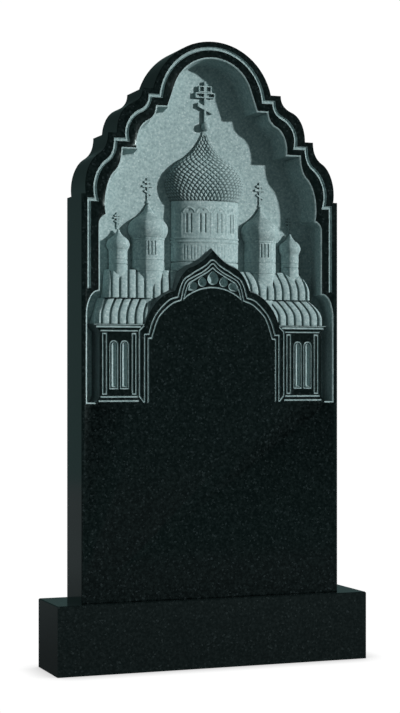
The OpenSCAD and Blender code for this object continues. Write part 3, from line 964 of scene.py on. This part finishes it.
set_finish(plinth_stone, dark=(0.0036, 0.0060, 0.0060), light=(0.0078, 0.0118, 0.0118),
           mottle=(0.42, 0.66), fleck_colour=(0.0165, 0.0230, 0.0235), fleck_size=0.0034,
           share=0.07, roughness=(0.12, 0.18), bump_height=0.02, specular=0.4,
           tint=(0.8, 1, 0.98))
for index in range(len(plinth.material_slots)):
    plinth.material_slots[index].material = plinth_stone
print("plinth slots:", len(plinth.material_slots))

# %% [markdown]
# ## Floor, light and camera
# A low sun-like lamp from the right front draws the relief, as on a stone that stands
# outdoors. Everything else is soft and dim, so that the polish stays black. The floor and
# the background are plain and pale where the camera sees them, with a soft painted shade
# where the plinth stands: ambient occlusion dims the floor's glow there. To everything but
# the camera the floor glows dimly in the ambient colour, in place of light bouncing off it;
# that glow is a painted shade near the stone and grows with the distance from it. The sky
# that the polish mirrors fades with height.

# %% Floor
reach = 6.0
floor_mesh = bpy.data.meshes.new("floor")
floor_mesh.from_pydata([(-reach, -reach, 0), (reach, -reach, 0), (reach, reach, 0),
                        (-reach, reach, 0)], [], [(0, 1, 2, 3)])
floor = bpy.data.objects.new("floor", floor_mesh)
bpy.context.scene.collection.objects.link(floor)
AMBIENT = (0.125, 0.152, 0.154, 1)
pale = bpy.data.materials.new("floor_pale")
pale.use_nodes = True
tree = pale.node_tree
tree.nodes.clear()
path = tree.nodes.new("ShaderNodeLightPath")
# Painted shade: near the plinth, ambient occlusion dims the floor's emission for the camera, a
# painted contact shadow.
near = node(tree, "ShaderNodeAmbientOcclusion", Distance=0.07)
near.samples = 16
seen_with_painted_shade = node(tree, "ShaderNodeMapRange", Value=near.outputs["AO"], From_Min=0.3,
                   From_Max=0.95, To_Min=0.50, To_Max=1.02)
seen = node(tree, "ShaderNodeEmission", Strength=seen_with_painted_shade.outputs[0])
place = node(tree, "ShaderNodeTexCoord")
away = node(tree, "ShaderNodeVectorMath", Vector=place.outputs["Object"])
away.operation = "LENGTH"
# Painted shade: the floor's glow for all rays but the camera's is weaker near the stone and grows
# with the distance from it.
level = node(tree, "ShaderNodeMapRange", Value=away.outputs["Value"], From_Min=0.4,
             From_Max=2.2, To_Min=0.35, To_Max=0.9)
unseen_glow = node(tree, "ShaderNodeEmission", Color=AMBIENT, Strength=level.outputs[0])
mix = tree.nodes.new("ShaderNodeMixShader")
tree.links.new(path.outputs["Is Camera Ray"], mix.inputs[0])
tree.links.new(unseen_glow.outputs[0], mix.inputs[1])
tree.links.new(seen.outputs[0], mix.inputs[2])
out = tree.nodes.new("ShaderNodeOutputMaterial")
tree.links.new(mix.outputs[0], out.inputs["Surface"])
floor_mesh.materials.append(pale)

# %% Light
world = bpy.data.worlds.new("studio")
bpy.context.scene.world = world
world.use_nodes = True
tree = world.node_tree
tree.nodes.clear()
path = tree.nodes.new("ShaderNodeLightPath")
white = node(tree, "ShaderNodeBackground", Color=(1, 1, 1, 1), Strength=1.02)
place = node(tree, "ShaderNodeTexCoord")
up = node(tree, "ShaderNodeSeparateXYZ", Vector=place.outputs["Generated"])
fall = node(tree, "ShaderNodeMapRange", Value=up.outputs["Z"], From_Min=0.05, From_Max=0.4,
            To_Min=1.0, To_Max=0.3)
mirrored_sky = node(tree, "ShaderNodeBackground", Color=(0.074, 0.126, 0.123, 1),
                    Strength=fall.outputs[0])
soft_sky = node(tree, "ShaderNodeBackground", Color=AMBIENT, Strength=1.0)
dim = node(tree, "ShaderNodeMixShader")
tree.links.new(path.outputs["Is Glossy Ray"], dim.inputs[0])
tree.links.new(soft_sky.outputs[0], dim.inputs[1])
tree.links.new(mirrored_sky.outputs[0], dim.inputs[2])
mix = tree.nodes.new("ShaderNodeMixShader")
tree.links.new(path.outputs["Is Camera Ray"], mix.inputs[0])
tree.links.new(dim.outputs[0], mix.inputs[1])
tree.links.new(white.outputs[0], mix.inputs[2])
out = tree.nodes.new("ShaderNodeOutputWorld")
tree.links.new(mix.outputs[0], out.inputs["Surface"])

sun_data = bpy.data.lights.new("sun", "SUN")
sun_data.energy = 3.85
sun_data.angle = math.radians(2.5)
sun = bpy.data.objects.new("sun", sun_data)
sun_way = Vector((-64, 55, -17))
sun.rotation_euler = sun_way.to_track_quat("-Z", "Y").to_euler()
bpy.context.scene.collection.objects.link(sun)

# %% Camera
camera_data = bpy.data.cameras.new("camera")
camera_data.lens = 87.85
camera_data.sensor_width = 36.0
camera_data.shift_y = 0.0238
camera_data.clip_end = 50
camera = bpy.data.objects.new("camera", camera_data)
camera.location = (-1.3752, -3.6060, 0.6411)
camera.rotation_euler = (math.radians(90), 0, math.radians(-20.72))
bpy.context.scene.collection.objects.link(camera)
bpy.context.scene.camera = camera
bpy.context.scene.view_settings.view_transform = "Standard"
